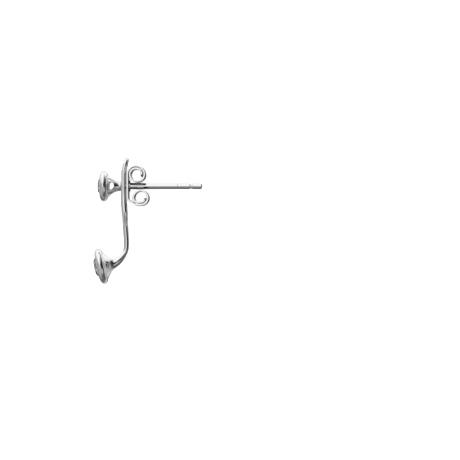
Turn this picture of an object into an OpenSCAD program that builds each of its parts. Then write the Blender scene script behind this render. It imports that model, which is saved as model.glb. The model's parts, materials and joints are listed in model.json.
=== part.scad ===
// Ear jacket earring, laid on its side: a stud with a stone, a jacket that hangs on the
// stud's post and hooks forward under it to a second stone, and a scroll clutch.
// +X runs along the post to its tip, +Y to the jacket's top end, and +Z away from the
// surface that the earring lies on. Millimetres and degrees.

/* [Stones] */
// Diameter of the stud's stone
stud_stone_d = 2.2; // [1.8:0.1:2.6]
// Diameter of the jacket's stone
jacket_stone_d = 2.8; // [2.3:0.1:3.2]
// Diameter of a table, as a share of its stone's diameter
table_share = 0.57; // [0.5:0.01:0.62]
// Slope of the main crown facets
crown_angle = 36; // [32:1:38]
// Slope of the main pavilion facets
pavilion_angle = 40.5; // [38:0.5:42]
// Thickness of a girdle
girdle_t = 0.06; // [0.04:0.01:0.1]

/* [Settings] */
// Width of the domed metal around a stone
rim_band = 0.8; // [0.6:0.02:0.9]
// Width of a rim along its axis
rim_w = 1.0; // [0.8:0.02:1.1]
// How far a rim rounds in towards its back edge
rim_back = 0.45; // [0.3:0.01:0.5]
// Width of the lip that laps over a stone
lip_lap = 0.06; // [0.04:0.01:0.1]
// Thickness of that lip
lip_t = 0.04; // [0.03:0.01:0.08]
// Width of the ledge under a stone
ledge_w = 0.28; // [0.2:0.02:0.34]
// Gap between a stone and its metal
stone_gap = 0.03; // [0.02:0.01:0.05]
// Thickness of a cup's wall
cup_wall = 0.3; // [0.22:0.02:0.36]
// Depth of the stud's setting from the middle of its rim to its base
stud_depth = 2.12; // [1.9:0.04:2.4]
// Depth of the jacket's setting from the middle of its rim to its base
jacket_depth = 1.66; // [1.6:0.02:1.9]
// Diameter of both settings at the base
neck_d = 1.24; // [1.1:0.02:1.4]
// How sharply the stud's setting flares to its rim
stud_flare = 2.1; // [1.6:0.1:2.6]
// How sharply the jacket's setting flares to its rim
jacket_flare = 1.5; // [1.3:0.05:2.3]
// Height of the stud's windows along its axis
stud_window_h = 0.62; // [0.5:0.02:0.7]
// Height of the jacket's windows along its axis
jacket_window_h = 0.48; // [0.4:0.02:0.62]
// Width of the stud's windows
stud_window_w = 0.86; // [0.7:0.02:0.94]
// Width of the jacket's windows
jacket_window_w = 0.8; // [0.6:0.02:1.16]
// Turn of the stud's windows about the post
stud_window_turn = 2; // [0:1:45]

/* [Post] */
// Diameter of the post
post_d = 0.8; // [0.7:0.02:0.9]
// Length of the post behind the stud's setting
post_len = 10.0; // [9:0.5:12]
// Rounding of the post's tip
tip_r = 0.24; // [0.1:0.02:0.3]
// Depth of the two grooves
groove_t = 0.06; // [0.03:0.01:0.1]
// Width of the groove nearer the stone
narrow_groove_w = 0.14; // [0.1:0.02:0.2]
// Width of the groove nearer the tip
wide_groove_w = 0.34; // [0.24:0.02:0.44]
// Distance of the narrow groove's middle from the tip
narrow_groove_at = 3.05; // [2.6:0.05:3.4]
// Distance of the wide groove's middle from the tip
wide_groove_at = 1.42; // [1.0:0.05:1.8]

/* [Jacket] */
// Thickness of the flat tab
tab_t = 0.54; // [0.42:0.01:0.6]
// Width of the flat tab
tab_w = 2.0; // [1.7:0.05:2.3]
// Diameter of the wire below the tab
wire_d = 0.68; // [0.56:0.02:0.8]
// Length of the tab above the post
tab_rise = 3.6; // [3.4:0.02:3.9]
// Length of the tab below the post
tab_fall = 3.1; // [2.8:0.1:3.4]
// Length over which the tab narrows to the wire
taper_len = 2.1; // [1.6:0.1:2.6]
// Distance below the post at which the tab starts to thicken to the wire
thick_from = 0.6; // [0.4:0.1:2]
// Length over which it thickens
thick_len = 1.6; // [1.2:0.1:2.6]
// Length of the bar from the post down to the hook
bar_run = 6.6; // [5.6:0.05:8]
// Length of the hook
hook_len = 3.7; // [3.4:0.1:4.2]
// How far the top end leans back
top_lean = 18; // [8:1:22]
// How far the bar leans back on its way down
bar_slant = 4.5; // [0:0.5:6]
// How far the hook turns forward
hook_turn = 68; // [60:1:80]
// How far below level the jacket's setting faces
head_dip = 12; // [0:0.5:20]
// Distance between the tab's holes
hole_pitch = 2.1; // [1.8:0.1:2.3]
// Radial play of the post in a hole of the tab
hole_play = 0.08; // [0.05:0.01:0.1]
// Gap between the stud's setting and the tab
seat_gap = 0.06; // [0.04:0.01:0.12]

/* [Clutch] */
// Thickness of the clutch's strip
strip_t = 0.25; // [0.22:0.01:0.3]
// Gap between the tab and the clutch
clutch_gap = 0.14; // [0.06:0.01:0.18]
// Radial play of the post in the clutch
clutch_play = 0.04; // [0.02:0.01:0.06]
// Length of the collar around the post
collar_len = 0.3; // [0.2:0.02:0.36]
// Wall of the collar
collar_wall = 0.24; // [0.16:0.02:0.28]
// Gap between the scrolls and the post
scroll_gap = 0.05; // [0.03:0.01:0.1]
// Radius of the upper scroll's first, outer bend
upper_scroll_r = 1.04; // [0.98:0.01:1.12]
// Radius of the lower scroll's first, outer bend
lower_scroll_r = 0.88; // [0.82:0.01:0.94]

/* [Hidden] */
$fn = 64;

// Sizes that follow from the ones above
stud_rim_r = stud_stone_d / 2 + rim_band;
jacket_rim_r = jacket_stone_d / 2 + rim_band;
setting_x = -tab_t / 2 - seat_gap;
stud_head_x = setting_x - stud_depth;
post_tip_x = setting_x + post_len;
post_r = post_d / 2;
neck_r = neck_d / 2;
girdle_top = rim_w / 2 - lip_t - stone_gap / cos(crown_angle) - lip_lap * tan(crown_angle);
girdle_low = girdle_top - girdle_t;
// Distance from a rim's back edge to its windows
window_back = 0.16;
// Distance from the windows' feet to the floor of the hollow
window_foot = 0.08;
// How much wider a window is towards the rim
window_egg = 0.4;
// Overlap of metal that is soldered
solder = 0.15;
// The bar's end, just inside the edge of the setting that it is soldered to
bar_end_d = neck_d - 0.05;
// How far the star facets reach from a table towards the girdle
star_share = 0.46;
// Radius at the tips of the pavilion's kites, as a share of the stone's
kite_share = 0.3;
// How round the tab's section is: an ellipse is 1, and a flat bar with round edges less
tab_round = 0.45;
// Share of the hook at which the wire starts to widen to the setting
neck_from = 0.34;
// How late that widening comes
neck_flare = 1.25;
// How many windows each gallery has
stud_windows = 4;
jacket_windows = 3;
// Distance that a cutting shape runs past what it cuts
past = 0.1;

// Bends of the bar. The columns are a stretch's share of the length and of the turn.
// The tab above the post, from the post up
rise_bends = [[0.55, 0], [0.28, 1], [0.17, 0]];
// The bar below the post, down to the hook
run_bends = [[0.08, 0], [0.25, 1], [0.67, 0]];
// The hook, down to the setting
hook_bends = [[0.3, 0.18], [0.18, 0.34], [0.52, 0.48]];
tab_end_r = tab_w / 2;

// Bends of the clutch's strip from the middle of its plate. Lengths are shares of the
// scroll's outer radius, and the columns are radius or length, then turn. A zero turn
// is a straight stretch.
upper_bends = [[1, -180], [0.79, -90], [0.13, 0], [0.79, -90], [0.705, -202]];
lower_bends = [
    [0.41, 57], [1, 0], [0.63, 33], [0.47, 0], [1, 270], [0.635, 90], [0.38, 0], [0.635, 85]
];

function smooth(t) = let (u = min(max(t, 0), 1)) u * u * (3 - 2 * u);
function mix(a, b, t) = a + (b - a) * t;
function side_power(v, power) = sign(v) * pow(abs(v), power);

// A line of straights and arcs: each stop is x, y, heading and the length so far
function walk(steps, at, heading) = [
    for (i = 0, p = at, h = heading, run = 0;
         i <= len(steps);
         p = i < len(steps) ? p + steps[i][0] * [cos(h + steps[i][1] / 2), sin(h + steps[i][1] / 2)] : p,
         h = i < len(steps) ? h + steps[i][1] : h,
         run = i < len(steps) ? run + steps[i][0] : run,
         i = i + 1)
        [p.x, p.y, h, run]
];
function split_bends(rows, long, turn) = [
    for (row = rows)
        let (n = max(1, ceil(abs(row[1]) / turn), ceil(row[0] / long)))
            for (k = [1:n]) [row[0] / n, row[1] / n]
];
function scaled(rows, length, turn) = [for (row = rows) [row[0] * length, row[1] * turn]];
function last(list) = list[len(list) - 1];

// The bar's middle line from the tab's round end down to the setting
step_long = 0.5;
step_turn = 7;
rise_len = tab_rise - tab_end_r;
rise_stops = walk(
    split_bends(scaled(rise_bends, rise_len, -top_lean), step_long, step_turn), [0, 0], 90);
fall_rows = concat(scaled(run_bends, bar_run, bar_slant), scaled(hook_bends, hook_len, -hook_turn));
fall_stops = walk(split_bends(fall_rows, step_long, step_turn), [0, 0], -90);
bar_end = last(fall_stops);
head_heading = 180 + head_dip;
head_at = [bar_end.x, bar_end.y] + (jacket_depth - solder) * [cos(head_heading), sin(head_heading)];

// The whole earring's box, for the origin below its middle
table_z = girdle_top + jacket_stone_d / 2 * (1 - table_share) * tan(crown_angle);
low_x = head_at.x - table_z * cos(head_dip) - jacket_stone_d / 2 * table_share * sin(head_dip);
low_y = head_at.y - jacket_stone_d / 2 * cos(head_dip)
    - norm([rim_band * cos(head_dip), rim_w / 2 * sin(head_dip)]);
high_y = last(rise_stops).y + tab_end_r * cos(top_lean);
middle = [(low_x + post_tip_x) / 2, (low_y + high_y) / 2];
jacket_roll = -asin((jacket_rim_r - stud_rim_r) / -head_at.y);

module laid() {
    translate([-middle.x, -middle.y, stud_rim_r])
        children();
}

module along_post() {
    rotate([0, 90, 0])
        children();
}

module stud_head_place() {
    translate([stud_head_x, 0, 0])
        rotate([0, -90, 0])
            children();
}

module jacket_place() {
    rotate([jacket_roll, 0, 0])
        children();
}

module jacket_head_place() {
    jacket_place()
        translate([head_at.x, head_at.y, 0])
            rotate([0, 0, head_dip])
                rotate([0, -90, 0])
                    children();
}

// A setting is turned about Z, with its stone facing +Z and the middle of its rim at zero
function cup_r(z, rim_r, depth, flare) =
    let (t = min(max((-z - rim_w / 2) / (depth - rim_w / 2), 0), 1))
        neck_r + (rim_r - rim_back - neck_r) * pow(1 - t, flare);
function seat_z(r, stone_r) =
    girdle_low - stone_gap / cos(pavilion_angle) - (stone_r - r) * tan(pavilion_angle);

module setting(stone_d, depth, flare, windows, window_w, window_h, window_turn) {
    stone_r = stone_d / 2;
    rim_r = stone_r + rim_band;
    pocket_r = stone_r + stone_gap;
    ledge_r = stone_r - ledge_w;
    // The hollow clears the stone's point and the feet of the windows
    hollow_z = min(
        girdle_low - stone_r * tan(pavilion_angle) - 2 * stone_gap,
        -rim_w / 2 - window_back - window_h - window_foot);
    round_steps = 8;
    cup_steps = 10;
    // The cup's points crowd towards the rim, where it bends most
    crowd = 1.3;
    front = [
        for (i = [0:round_steps])
            let (a = 90 - 90 * i / round_steps)
                [stone_r + rim_band * cos(a), rim_w / 2 * sin(a)]
    ];
    back = [
        for (i = [1:3])
            [rim_r - rim_back + rim_back * cos(30 * i), -rim_w / 2 * sin(30 * i)]
    ];
    cup = [
        for (i = [1:cup_steps])
            let (z = mix(-rim_w / 2, -depth, pow(i / cup_steps, crowd)))
                [cup_r(z, rim_r, depth, flare), z]
    ];
    hollow = [
        for (i = [0:cup_steps])
            let (z = mix(hollow_z, seat_z(ledge_r, stone_r), i / cup_steps))
                [min(ledge_r, cup_r(z, rim_r, depth, flare) - cup_wall), z]
    ];
    pocket = [
        [pocket_r, seat_z(pocket_r, stone_r)],
        [pocket_r, rim_w / 2 - lip_t],
        [stone_r - lip_lap, rim_w / 2 - lip_t],
        [stone_r - lip_lap, rim_w / 2]
    ];
    difference() {
        rotate_extrude()
            polygon(concat(front, back, cup, [[0, -depth], [0, hollow_z]], hollow, pocket));
        for (i = [0:windows - 1])
            rotate([0, 0, window_turn + 360 * i / windows])
                window(window_w, window_h, rim_r);
    }
}

// The cut of one window, from the axis out along +X
module window(width, height, rim_r) {
    points = 24;
    mid_z = -rim_w / 2 - window_back - height / 2;
    rotate([90, 0, 90])
        linear_extrude(height = rim_r + past)
            polygon([
                for (i = [0:points - 1])
                    let (a = 360 * i / points)
                        [width / 2 * sin(a) * (1 + window_egg * cos(a)), mid_z + height / 2 * cos(a)]
            ]);
}

// A round brilliant with its table up and the top of its girdle at zero. Rings of eight
// corners lie at the table, between the star facets and at the tips of the pavilion's
// kites, and rings of sixteen lie at the girdle.
module brilliant(d) {
    r = d / 2;
    table_r = r * table_share;
    star_r = r * mix(table_share, 1, star_share) / cos(22.5);
    kite_r = r * kite_share;
    crown_h = (r - table_r) * tan(crown_angle);
    star_z = crown_h - (star_r * cos(22.5) - table_r) * tan(crown_angle);
    pavilion_h = r * tan(pavilion_angle);
    kite_z = -girdle_t - (r - kite_r * cos(22.5)) * tan(pavilion_angle);
    table = [for (i = [0:7]) [table_r * cos(45 * i), table_r * sin(45 * i), crown_h]];
    star = [for (i = [0:7]) [star_r * cos(45 * i + 22.5), star_r * sin(45 * i + 22.5), star_z]];
    girdle_up = [for (i = [0:15]) [r * cos(22.5 * i), r * sin(22.5 * i), 0]];
    girdle_down = [for (i = [0:15]) [r * cos(22.5 * i), r * sin(22.5 * i), -girdle_t]];
    kites = [for (i = [0:7]) [kite_r * cos(45 * i + 22.5), kite_r * sin(45 * i + 22.5), kite_z]];
    culet = [[0, 0, -girdle_t - pavilion_h]];
    s = 8;
    u = 16;
    v = 32;
    t = 48;
    c = 56;
    polyhedron(
        points = concat(table, star, girdle_up, girdle_down, kites, culet),
        faces = concat(
            [[for (i = [7:-1:0]) i]],
            [for (i = [0:7]) [i, (i + 1) % 8, s + i]],
            [for (i = [0:7]) [i, s + i, u + 2 * i, s + (i + 7) % 8]],
            [for (i = [0:7]) [s + i, u + 2 * i + 1, u + 2 * i]],
            [for (i = [0:7]) [s + i, u + (2 * i + 2) % 16, u + 2 * i + 1]],
            [for (i = [0:15]) [u + i, u + (i + 1) % 16, v + (i + 1) % 16, v + i]],
            [for (i = [0:7]) [v + 2 * i, v + 2 * i + 1, t + i]],
            [for (i = [0:7]) [v + 2 * i + 1, v + (2 * i + 2) % 16, t + i]],
            [for (i = [0:7]) [v + 2 * i, t + i, c, t + (i + 7) % 8]]
        ));
}

module post() {
    narrow_z = post_len - narrow_groove_at;
    wide_z = post_len - wide_groove_at;
    groove_r = post_r - groove_t;
    tip = [
        for (i = [0:4])
            let (a = 22.5 * i)
                [post_r - tip_r + tip_r * cos(a), post_len - tip_r + tip_r * sin(a)]
    ];
    rotate_extrude()
        polygon(concat(
            [
                [0, -solder],
                [post_r, -solder],
                [post_r, narrow_z - narrow_groove_w / 2],
                [groove_r, narrow_z - narrow_groove_w / 4],
                [groove_r, narrow_z + narrow_groove_w / 4],
                [post_r, narrow_z + narrow_groove_w / 2],
                [post_r, wide_z - wide_groove_w / 2],
                [groove_r, wide_z - wide_groove_w / 4],
                [groove_r, wide_z + wide_groove_w / 4],
                [post_r, wide_z + wide_groove_w / 2]
            ],
            tip,
            [[0, post_len]]));
}

module stud() {
    color("silver")
        laid() {
            stud_head_place()
                setting(
                    stud_stone_d, stud_depth, stud_flare, stud_windows, stud_window_w,
                    stud_window_h, stud_window_turn);
            translate([setting_x, 0, 0])
                along_post()
                    post();
        }
}

module stud_stone() {
    color("whitesmoke")
        laid()
            stud_head_place()
                translate([0, 0, girdle_top])
                    brilliant(stud_stone_d);
}

// Sections of the bar at a distance from the tab's top end
function wire_share(s) = smooth((s - tab_rise - tab_fall) / taper_len);
function thick_share(s) = smooth((s - tab_rise - thick_from) / thick_len);
function neck_share(s) =
    pow(smooth((s - tab_rise - bar_run - hook_len * neck_from) / (hook_len * (1 - neck_from))), neck_flare);
function bar_w(s) = mix(mix(tab_w, wire_d, wire_share(s)), bar_end_d, neck_share(s));
function bar_t(s) = mix(mix(tab_t, wire_d, thick_share(s)), bar_end_d, neck_share(s));
function corner_power(s) = mix(tab_round, 1, wire_share(s));

function bar_ring(x, y, heading, w, t, power, sides) = [
    for (i = [0:sides - 1])
        let (
            a = 360 * (i + 0.5) / sides,
            out = t / 2 * side_power(cos(a), power),
            across = w / 2 * side_power(sin(a), power)
        )
            [x - out * sin(heading), y + out * cos(heading), across]
];

module bar() {
    sides = 20;
    top = last(rise_stops);
    cap_rings = [
        for (a = [80:-20:20])
            let (reach = tab_end_r * sin(a))
                bar_ring(
                    top.x + reach * cos(top[2]), top.y + reach * sin(top[2]), top[2] + 180,
                    tab_w * cos(a), tab_t * pow(cos(a), 0.25), corner_power(0), sides)
    ];
    rise_rings = [
        for (i = [len(rise_stops) - 1:-1:1])
            let (stop = rise_stops[i], s = tab_rise - stop[3])
                bar_ring(stop.x, stop.y, stop[2] + 180, bar_w(s), bar_t(s), corner_power(s), sides)
    ];
    fall_rings = [
        for (stop = fall_stops)
            let (s = tab_rise + stop[3])
                bar_ring(stop.x, stop.y, stop[2], bar_w(s), bar_t(s), corner_power(s), sides)
    ];
    rings = concat(cap_rings, rise_rings, fall_rings);
    count = len(rings);
    polyhedron(
        points = [for (ring = rings) each ring],
        faces = concat(
            [[for (i = [0:sides - 1]) i]],
            [[for (i = [sides - 1:-1:0]) (count - 1) * sides + i]],
            [
                for (k = [0:count - 2], i = [0:sides - 1])
                    let (j = (i + 1) % sides, a = k * sides, b = a + sides)
                        [a + i, b + i, b + j, a + j]
            ]));
}

module tab_hole(at, heading) {
    translate([at.x, at.y, 0])
        rotate([0, 0, heading])
            along_post()
                cylinder(r = post_r + hole_play, h = 2 * wire_d, center = true);
}

// The point of the bar at a distance above (+) or below (-) the post
function stop_near(stops, run) =
    let (k = max([for (i = [0:len(stops) - 2]) stops[i][3] <= run ? i : 0]),
         t = (run - stops[k][3]) / (stops[k + 1][3] - stops[k][3]))
        mix(stops[k], stops[k + 1], t);

module jacket() {
    over = stop_near(rise_stops, hole_pitch);
    under = stop_near(fall_stops, hole_pitch);
    color("silver")
        laid() {
            jacket_place()
                difference() {
                    bar();
                    tab_hole([0, 0], 0);
                    tab_hole(over, over[2] - 90);
                    tab_hole(under, under[2] + 90);
                }
            jacket_head_place()
                setting(
                    jacket_stone_d, jacket_depth, jacket_flare, jacket_windows, jacket_window_w,
                    jacket_window_h, 0);
        }
}

module jacket_stone() {
    color("whitesmoke")
        laid()
            jacket_head_place()
                translate([0, 0, girdle_top])
                    brilliant(jacket_stone_d);
}

// The clutch is one strip, bent into a scroll at either end of a plate
plate_x = tab_t / 2 + clutch_gap + strip_t / 2;
clutch_w = 2 * stud_rim_r;
scroll_turn = 12;
function arcs(rows, radius) = [
    for (row = rows)
        row[1] == 0 ? [row[0] * radius, 0] : [row[0] * radius * abs(row[1]) * PI / 180, row[1]]
];
// Half a plate is as long as its scroll needs to roll clear of the post
function plate_half(rows, side) =
    let (line = walk(split_bends(rows, clutch_w, scroll_turn), [0, 0], side * 90),
         inner = [for (stop = line) side * stop.y])
        post_r + scroll_gap + strip_t / 2 - min(inner);
upper_rows = arcs(upper_bends, upper_scroll_r);
lower_rows = arcs(lower_bends, lower_scroll_r);
upper_half = plate_half(upper_rows, 1);
lower_half = plate_half(lower_rows, -1);

function strip_side(stops, offset) = [
    for (stop = stops) [stop.x - offset * sin(stop[2]), stop.y + offset * cos(stop[2])]
];
function reversed(list) = [for (i = [len(list) - 1:-1:0]) list[i]];

module scroll(rows, half, side) {
    stops = walk(
        split_bends(concat([[half, 0]], rows), clutch_w, scroll_turn), [plate_x, 0], side * 90);
    linear_extrude(height = clutch_w, center = true)
        polygon(concat(strip_side(stops, strip_t / 2), reversed(strip_side(stops, -strip_t / 2))));
}

module clutch() {
    color("silver")
        laid()
            difference() {
                union() {
                    scroll(upper_rows, upper_half, 1);
                    scroll(lower_rows, lower_half, -1);
                    translate([plate_x, 0, 0])
                        along_post()
                            cylinder(
                                r = post_r + clutch_play + collar_wall, h = strip_t / 2 + collar_len);
                }
                along_post()
                    cylinder(r = post_r + clutch_play, h = plate_x + strip_t + collar_len + past);
            }
}

stud();
stud_stone();
jacket();
jacket_stone();
clutch();
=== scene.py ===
"""Dresses the ear jacket earring: its polished metal, its stones and the studio round it."""
import json
import math

import bmesh
import bpy
from bpy.props import FloatProperty, FloatVectorProperty, IntProperty, PointerProperty
from mathutils import Matrix, Vector


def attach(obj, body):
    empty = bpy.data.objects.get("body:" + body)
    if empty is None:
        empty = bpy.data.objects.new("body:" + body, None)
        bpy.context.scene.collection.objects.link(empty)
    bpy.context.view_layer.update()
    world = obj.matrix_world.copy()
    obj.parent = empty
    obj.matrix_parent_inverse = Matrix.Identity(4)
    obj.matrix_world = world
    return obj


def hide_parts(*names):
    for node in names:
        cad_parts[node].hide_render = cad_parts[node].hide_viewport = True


bl_info = {
    "name": "Ear Jacket Earring",
    "version": (1, 0, 0),
    "blender": (4, 5, 0),
    "location": "View3D > Sidebar > Earring",
    "description": "Builds the metal and the stones of an ear jacket earring on its frame",
    "category": "Add Mesh",
}

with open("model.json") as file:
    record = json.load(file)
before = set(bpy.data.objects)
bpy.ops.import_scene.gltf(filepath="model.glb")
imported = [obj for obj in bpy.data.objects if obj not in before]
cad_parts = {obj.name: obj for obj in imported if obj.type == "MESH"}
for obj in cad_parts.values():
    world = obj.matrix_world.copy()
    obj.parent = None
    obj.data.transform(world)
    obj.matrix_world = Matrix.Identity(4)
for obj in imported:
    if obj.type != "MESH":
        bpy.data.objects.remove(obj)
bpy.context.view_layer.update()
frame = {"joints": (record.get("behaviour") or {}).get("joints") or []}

MM = 0.001
# Points round each turned or swept section
COLUMNS = 24
SUBDIVISIONS = 2
WELD = 0.002 * MM


def length(name, description, default):
    """A size in metres."""
    return FloatProperty(name=name, description=description, default=default, unit="LENGTH", precision=5)


def angle(name, description, default):
    """An angle, given in degrees and kept in radians."""
    return FloatProperty(
        name=name, description=description, default=math.radians(default), subtype="ANGLE")


def share(name, description, default):
    """A plain number, such as a share of another size."""
    return FloatProperty(name=name, description=description, default=default, precision=3)


class StoneSizes(bpy.types.PropertyGroup):
    """Sizes of the two round brilliants."""
    stud_d: length("Stud's stone", "Diameter of the stone in the stud", 2.2 * MM)
    jacket_d: length("Jacket's stone", "Diameter of the stone in the jacket", 2.8 * MM)
    table: share("Table", "Diameter of a table as a share of its stone's", 0.57)
    crown: angle("Crown", "Slope of the main crown facets", 36)
    pavilion: angle("Pavilion", "Slope of the main pavilion facets", 40.5)
    girdle_t: length("Girdle", "Thickness of a girdle", 0.06 * MM)
    star: share("Stars", "How far the star facets reach towards the girdle", 0.46)
    kite: share("Kites", "Radius at the tips of the pavilion's kites", 0.3)


class SettingSizes(bpy.types.PropertyGroup):
    """Sizes of the two settings."""
    band: length("Band", "Domed metal around a stone", 0.8 * MM)
    width: length("Rim width", "Width of a rim along its axis", 1.0 * MM)
    back: length("Rim back", "How far a rim rounds in towards its back edge", 0.45 * MM)
    lip_lap: length("Lip", "How far the lip laps over a stone", 0.06 * MM)
    lip_t: length("Lip thickness", "Thickness of the lip", 0.04 * MM)
    ledge: length("Ledge", "Width of the ledge under a stone", 0.28 * MM)
    gap: length("Gap", "Gap between a stone and its metal", 0.03 * MM)
    wall: length("Wall", "Thickness of a cup's wall", 0.3 * MM)
    neck_d: length("Neck", "Diameter of both settings at the base", 1.24 * MM)
    window_back: length("Window gap", "Distance from a rim to its windows", 0.16 * MM)
    window_foot: length("Window foot", "Distance from the windows to the floor of the hollow", 0.08 * MM)
    window_egg: share("Window shape", "How much wider a window is towards the rim", 0.4)
    stud_depth: length("Stud's depth", "From the middle of the rim to the base", 2.12 * MM)
    stud_flare: share("Stud's flare", "How sharply the cup flares", 2.1)
    stud_windows: IntProperty(name="Stud's windows", description="Windows in the gallery", default=4)
    stud_window_w: length("Stud's window width", "Width of a window", 0.86 * MM)
    stud_window_h: length("Stud's window height", "Height of a window", 0.62 * MM)
    stud_turn: angle("Stud's turn", "Turn of the windows about the post", 2)
    jacket_depth: length("Jacket's depth", "From the middle of the rim to the base", 1.66 * MM)
    jacket_flare: share("Jacket's flare", "How sharply the cup flares", 1.5)
    jacket_windows: IntProperty(name="Jacket's windows", description="Windows in the gallery", default=3)
    jacket_window_w: length("Jacket's window width", "Width of a window", 0.8 * MM)
    jacket_window_h: length("Jacket's window height", "Height of a window", 0.48 * MM)


class PostSizes(bpy.types.PropertyGroup):
    """Sizes of the post."""
    d: length("Diameter", "Diameter of the post", 0.8 * MM)
    long: length("Length", "Length behind the setting", 10.0 * MM)
    tip_r: length("Tip", "Rounding of the tip", 0.24 * MM)
    groove_t: length("Groove", "Depth of the two grooves", 0.06 * MM)
    narrow_w: length("Narrow groove", "Width of the groove nearer the stone", 0.14 * MM)
    narrow_at: length("Narrow groove's place", "Distance from the tip", 3.05 * MM)
    wide_w: length("Wide groove", "Width of the groove nearer the tip", 0.34 * MM)
    wide_at: length("Wide groove's place", "Distance from the tip", 1.42 * MM)


class BarSizes(bpy.types.PropertyGroup):
    """Sizes of the jacket's bar, from its flat tab to the hook."""
    tab_t: length("Tab thickness", "Thickness of the flat tab", 0.54 * MM)
    tab_w: length("Tab width", "Width of the flat tab", 2.0 * MM)
    edge: length("Tab edge", "Rounding of the tab's long edges", 0.17 * MM)
    wire_d: length("Wire", "Diameter of the wire below the tab", 0.68 * MM)
    rise: length("Tab rise", "Length of the tab above the post", 3.6 * MM)
    fall: length("Tab fall", "Length of the tab below the post", 3.1 * MM)
    taper: length("Taper", "Length over which the tab narrows to the wire", 2.1 * MM)
    thick_from: length("Thickening", "Distance below the post at which the tab starts to thicken", 0.6 * MM)
    thick_long: length("Thickening length", "Length over which the tab thickens to the wire", 1.6 * MM)
    run: length("Run", "Length from the post down to the hook", 6.6 * MM)
    hook: length("Hook", "Length of the hook", 3.62 * MM)
    top_lean: angle("Top lean", "How far the top end leans back", 14)
    slant: angle("Slant", "How far the bar leans back on its way down", 4)
    hook_turn: angle("Hook turn", "How far the hook turns forward", 68)
    head_dip: angle("Dip", "How far below level the jacket's setting faces", 12)
    hole_pitch: length("Hole pitch", "Distance between the tab's holes", 2.1 * MM)
    hole_play: length("Hole play", "Radial play of the post in a hole", 0.08 * MM)
    seat_gap: length("Seat gap", "Gap between the stud's setting and the tab", 0.06 * MM)


class ClutchSizes(bpy.types.PropertyGroup):
    """Sizes of the scroll clutch."""
    strip_t: length("Strip", "Thickness of the strip", 0.25 * MM)
    edge: length("Strip edge", "Rounding of the strip's edges", 0.05 * MM)
    gap: length("Gap", "Gap between the tab and the clutch", 0.14 * MM)
    play: length("Play", "Radial play of the post in the clutch", 0.04 * MM)
    collar_long: length("Collar", "Length of the collar", 0.3 * MM)
    collar_wall: length("Collar wall", "Wall of the collar", 0.24 * MM)
    scroll_gap: length("Scroll gap", "Gap between the scrolls and the post", 0.05 * MM)
    upper_r: length("Upper scroll", "Radius of its first, outer bend", 1.04 * MM)
    lower_r: length("Lower scroll", "Radius of its first, outer bend", 0.88 * MM)
    tongue: length("Tongue", "Length of the rounded end inside each scroll", 0.3 * MM)


class Finish(bpy.types.PropertyGroup):
    """Colours, the grey of painted shade, and polish."""
    silver: FloatVectorProperty(
        name="Silver", description="Colour of the metal", subtype="COLOR", default=(0.93, 0.93, 0.925))
    # Painted shade: the grey that the metal's colour is mixed towards in hollows and on the clutch's side
    # faces
    recess_shade: FloatVectorProperty(
        name="Recess", description="Colour of the metal in recesses", subtype="COLOR",
        default=(0.42, 0.42, 0.42))
    polish: share("Polish", "Lowest roughness of the metal", 0.05)
    wear: share("Wear", "Highest roughness of the metal", 0.16)
    scratch: length("Scratches", "Depth of the polishing marks", 0.0012 * MM)
    stone_ior: share("Stone's index", "Refractive index of the stones", 2.16)


class Studio(bpy.types.PropertyGroup):
    """Camera and light."""
    lens: share("Lens", "Focal length in millimetres", 158.25)
    camera_x: length("Camera X", "Place of the camera", 10.053 * MM)
    camera_y: length("Camera Y", "Place of the camera", -1.106 * MM)
    camera_z: length("Camera Z", "Height of the camera", 250 * MM)
    tent: share("Tent", "Brightness of the light tent", 1.0)


# Bends of the bar: a stretch's share of the length, and of the turn
RISE_BENDS = [(0.55, 0), (0.28, 1), (0.17, 0)]
RUN_BENDS = [(0.08, 0), (0.25, 1), (0.67, 0)]
HOOK_BENDS = [(0.3, 0.18), (0.18, 0.34), (0.52, 0.48)]
# Share of the hook at which the wire starts to widen, and how late that widening comes
NECK_FROM = 0.34
NECK_FLARE = 1.25
# Section of a groove: place along the post as a share of its width, and share of its depth
GROOVE = (
    (-1, 0), (-0.56, 0), (-0.44, 0.3), (-0.3, 1), (0.3, 1), (0.44, 0.3), (0.56, 0), (1, 0))
# Length of the bar's end that is left to the join with the setting, and the wire's rows of points
JOIN = 0.35 * MM
WIRE_ROWS = 26
# Steps round half of one of the bar's long edges
CORNER = 2
# Width and start of the rounded edge of the tab's holes, beyond their radius
HOLE_RIMS = (0.12 * MM, 0.035 * MM)
# Outer rings of a hole's wall, as a share of half the thickness
HOLE_WALL = 0.82
# Smallest radius of a cup's hollow as a share of the neck's, and the furthest that a window reaches
# round, as a sine
HOLLOW_LEAST = 0.36
WINDOW_REACH = 0.62
# Points round the clutch's collar and round its bore
COLLAR_COLUMNS = 48
BORE_COLUMNS = 64
# How far into hollows the metal's colour is darkened with painted shade, and how much brightness the painted
# shade leaves on the clutch's side faces, from 0 to 1
RECESS_SHADE_REACH = 0.3 * MM
SIDE_SHADE_BRIGHTNESS = 0.13
# Bends of the clutch's strip: radius or length as a share of the outer radius, and turn in degrees
UPPER_BENDS = [(1, -180), (0.79, -90), (0.13, 0), (0.79, -90), (0.705, -202)]
LOWER_BENDS = [(0.41, 57), (1, 0), (0.63, 33), (0.47, 0), (1, 270), (0.635, 90), (0.38, 0), (0.635, 85)]


def smooth(t):
    """Eases from 0 to 1."""
    t = min(max(t, 0.0), 1.0)
    return t * t * (3 - 2 * t)


def mix(a, b, t):
    """Blends two values."""
    return a + (b - a) * t


def sizes():
    """The property groups of the scene."""
    return bpy.context.scene.earring


def post_point():
    """The point on the post's axis that the sizes are measured from, in the middle of the tab."""
    swing = next(j for j in frame["joints"] if j["name"] == "jacket_swing")
    return Vector(swing["pos_m"])


def setting_x():
    """Where the stud's setting ends and its post begins, along the post."""
    bar = sizes().bar
    return -bar.tab_t / 2 - bar.seat_gap


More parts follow.
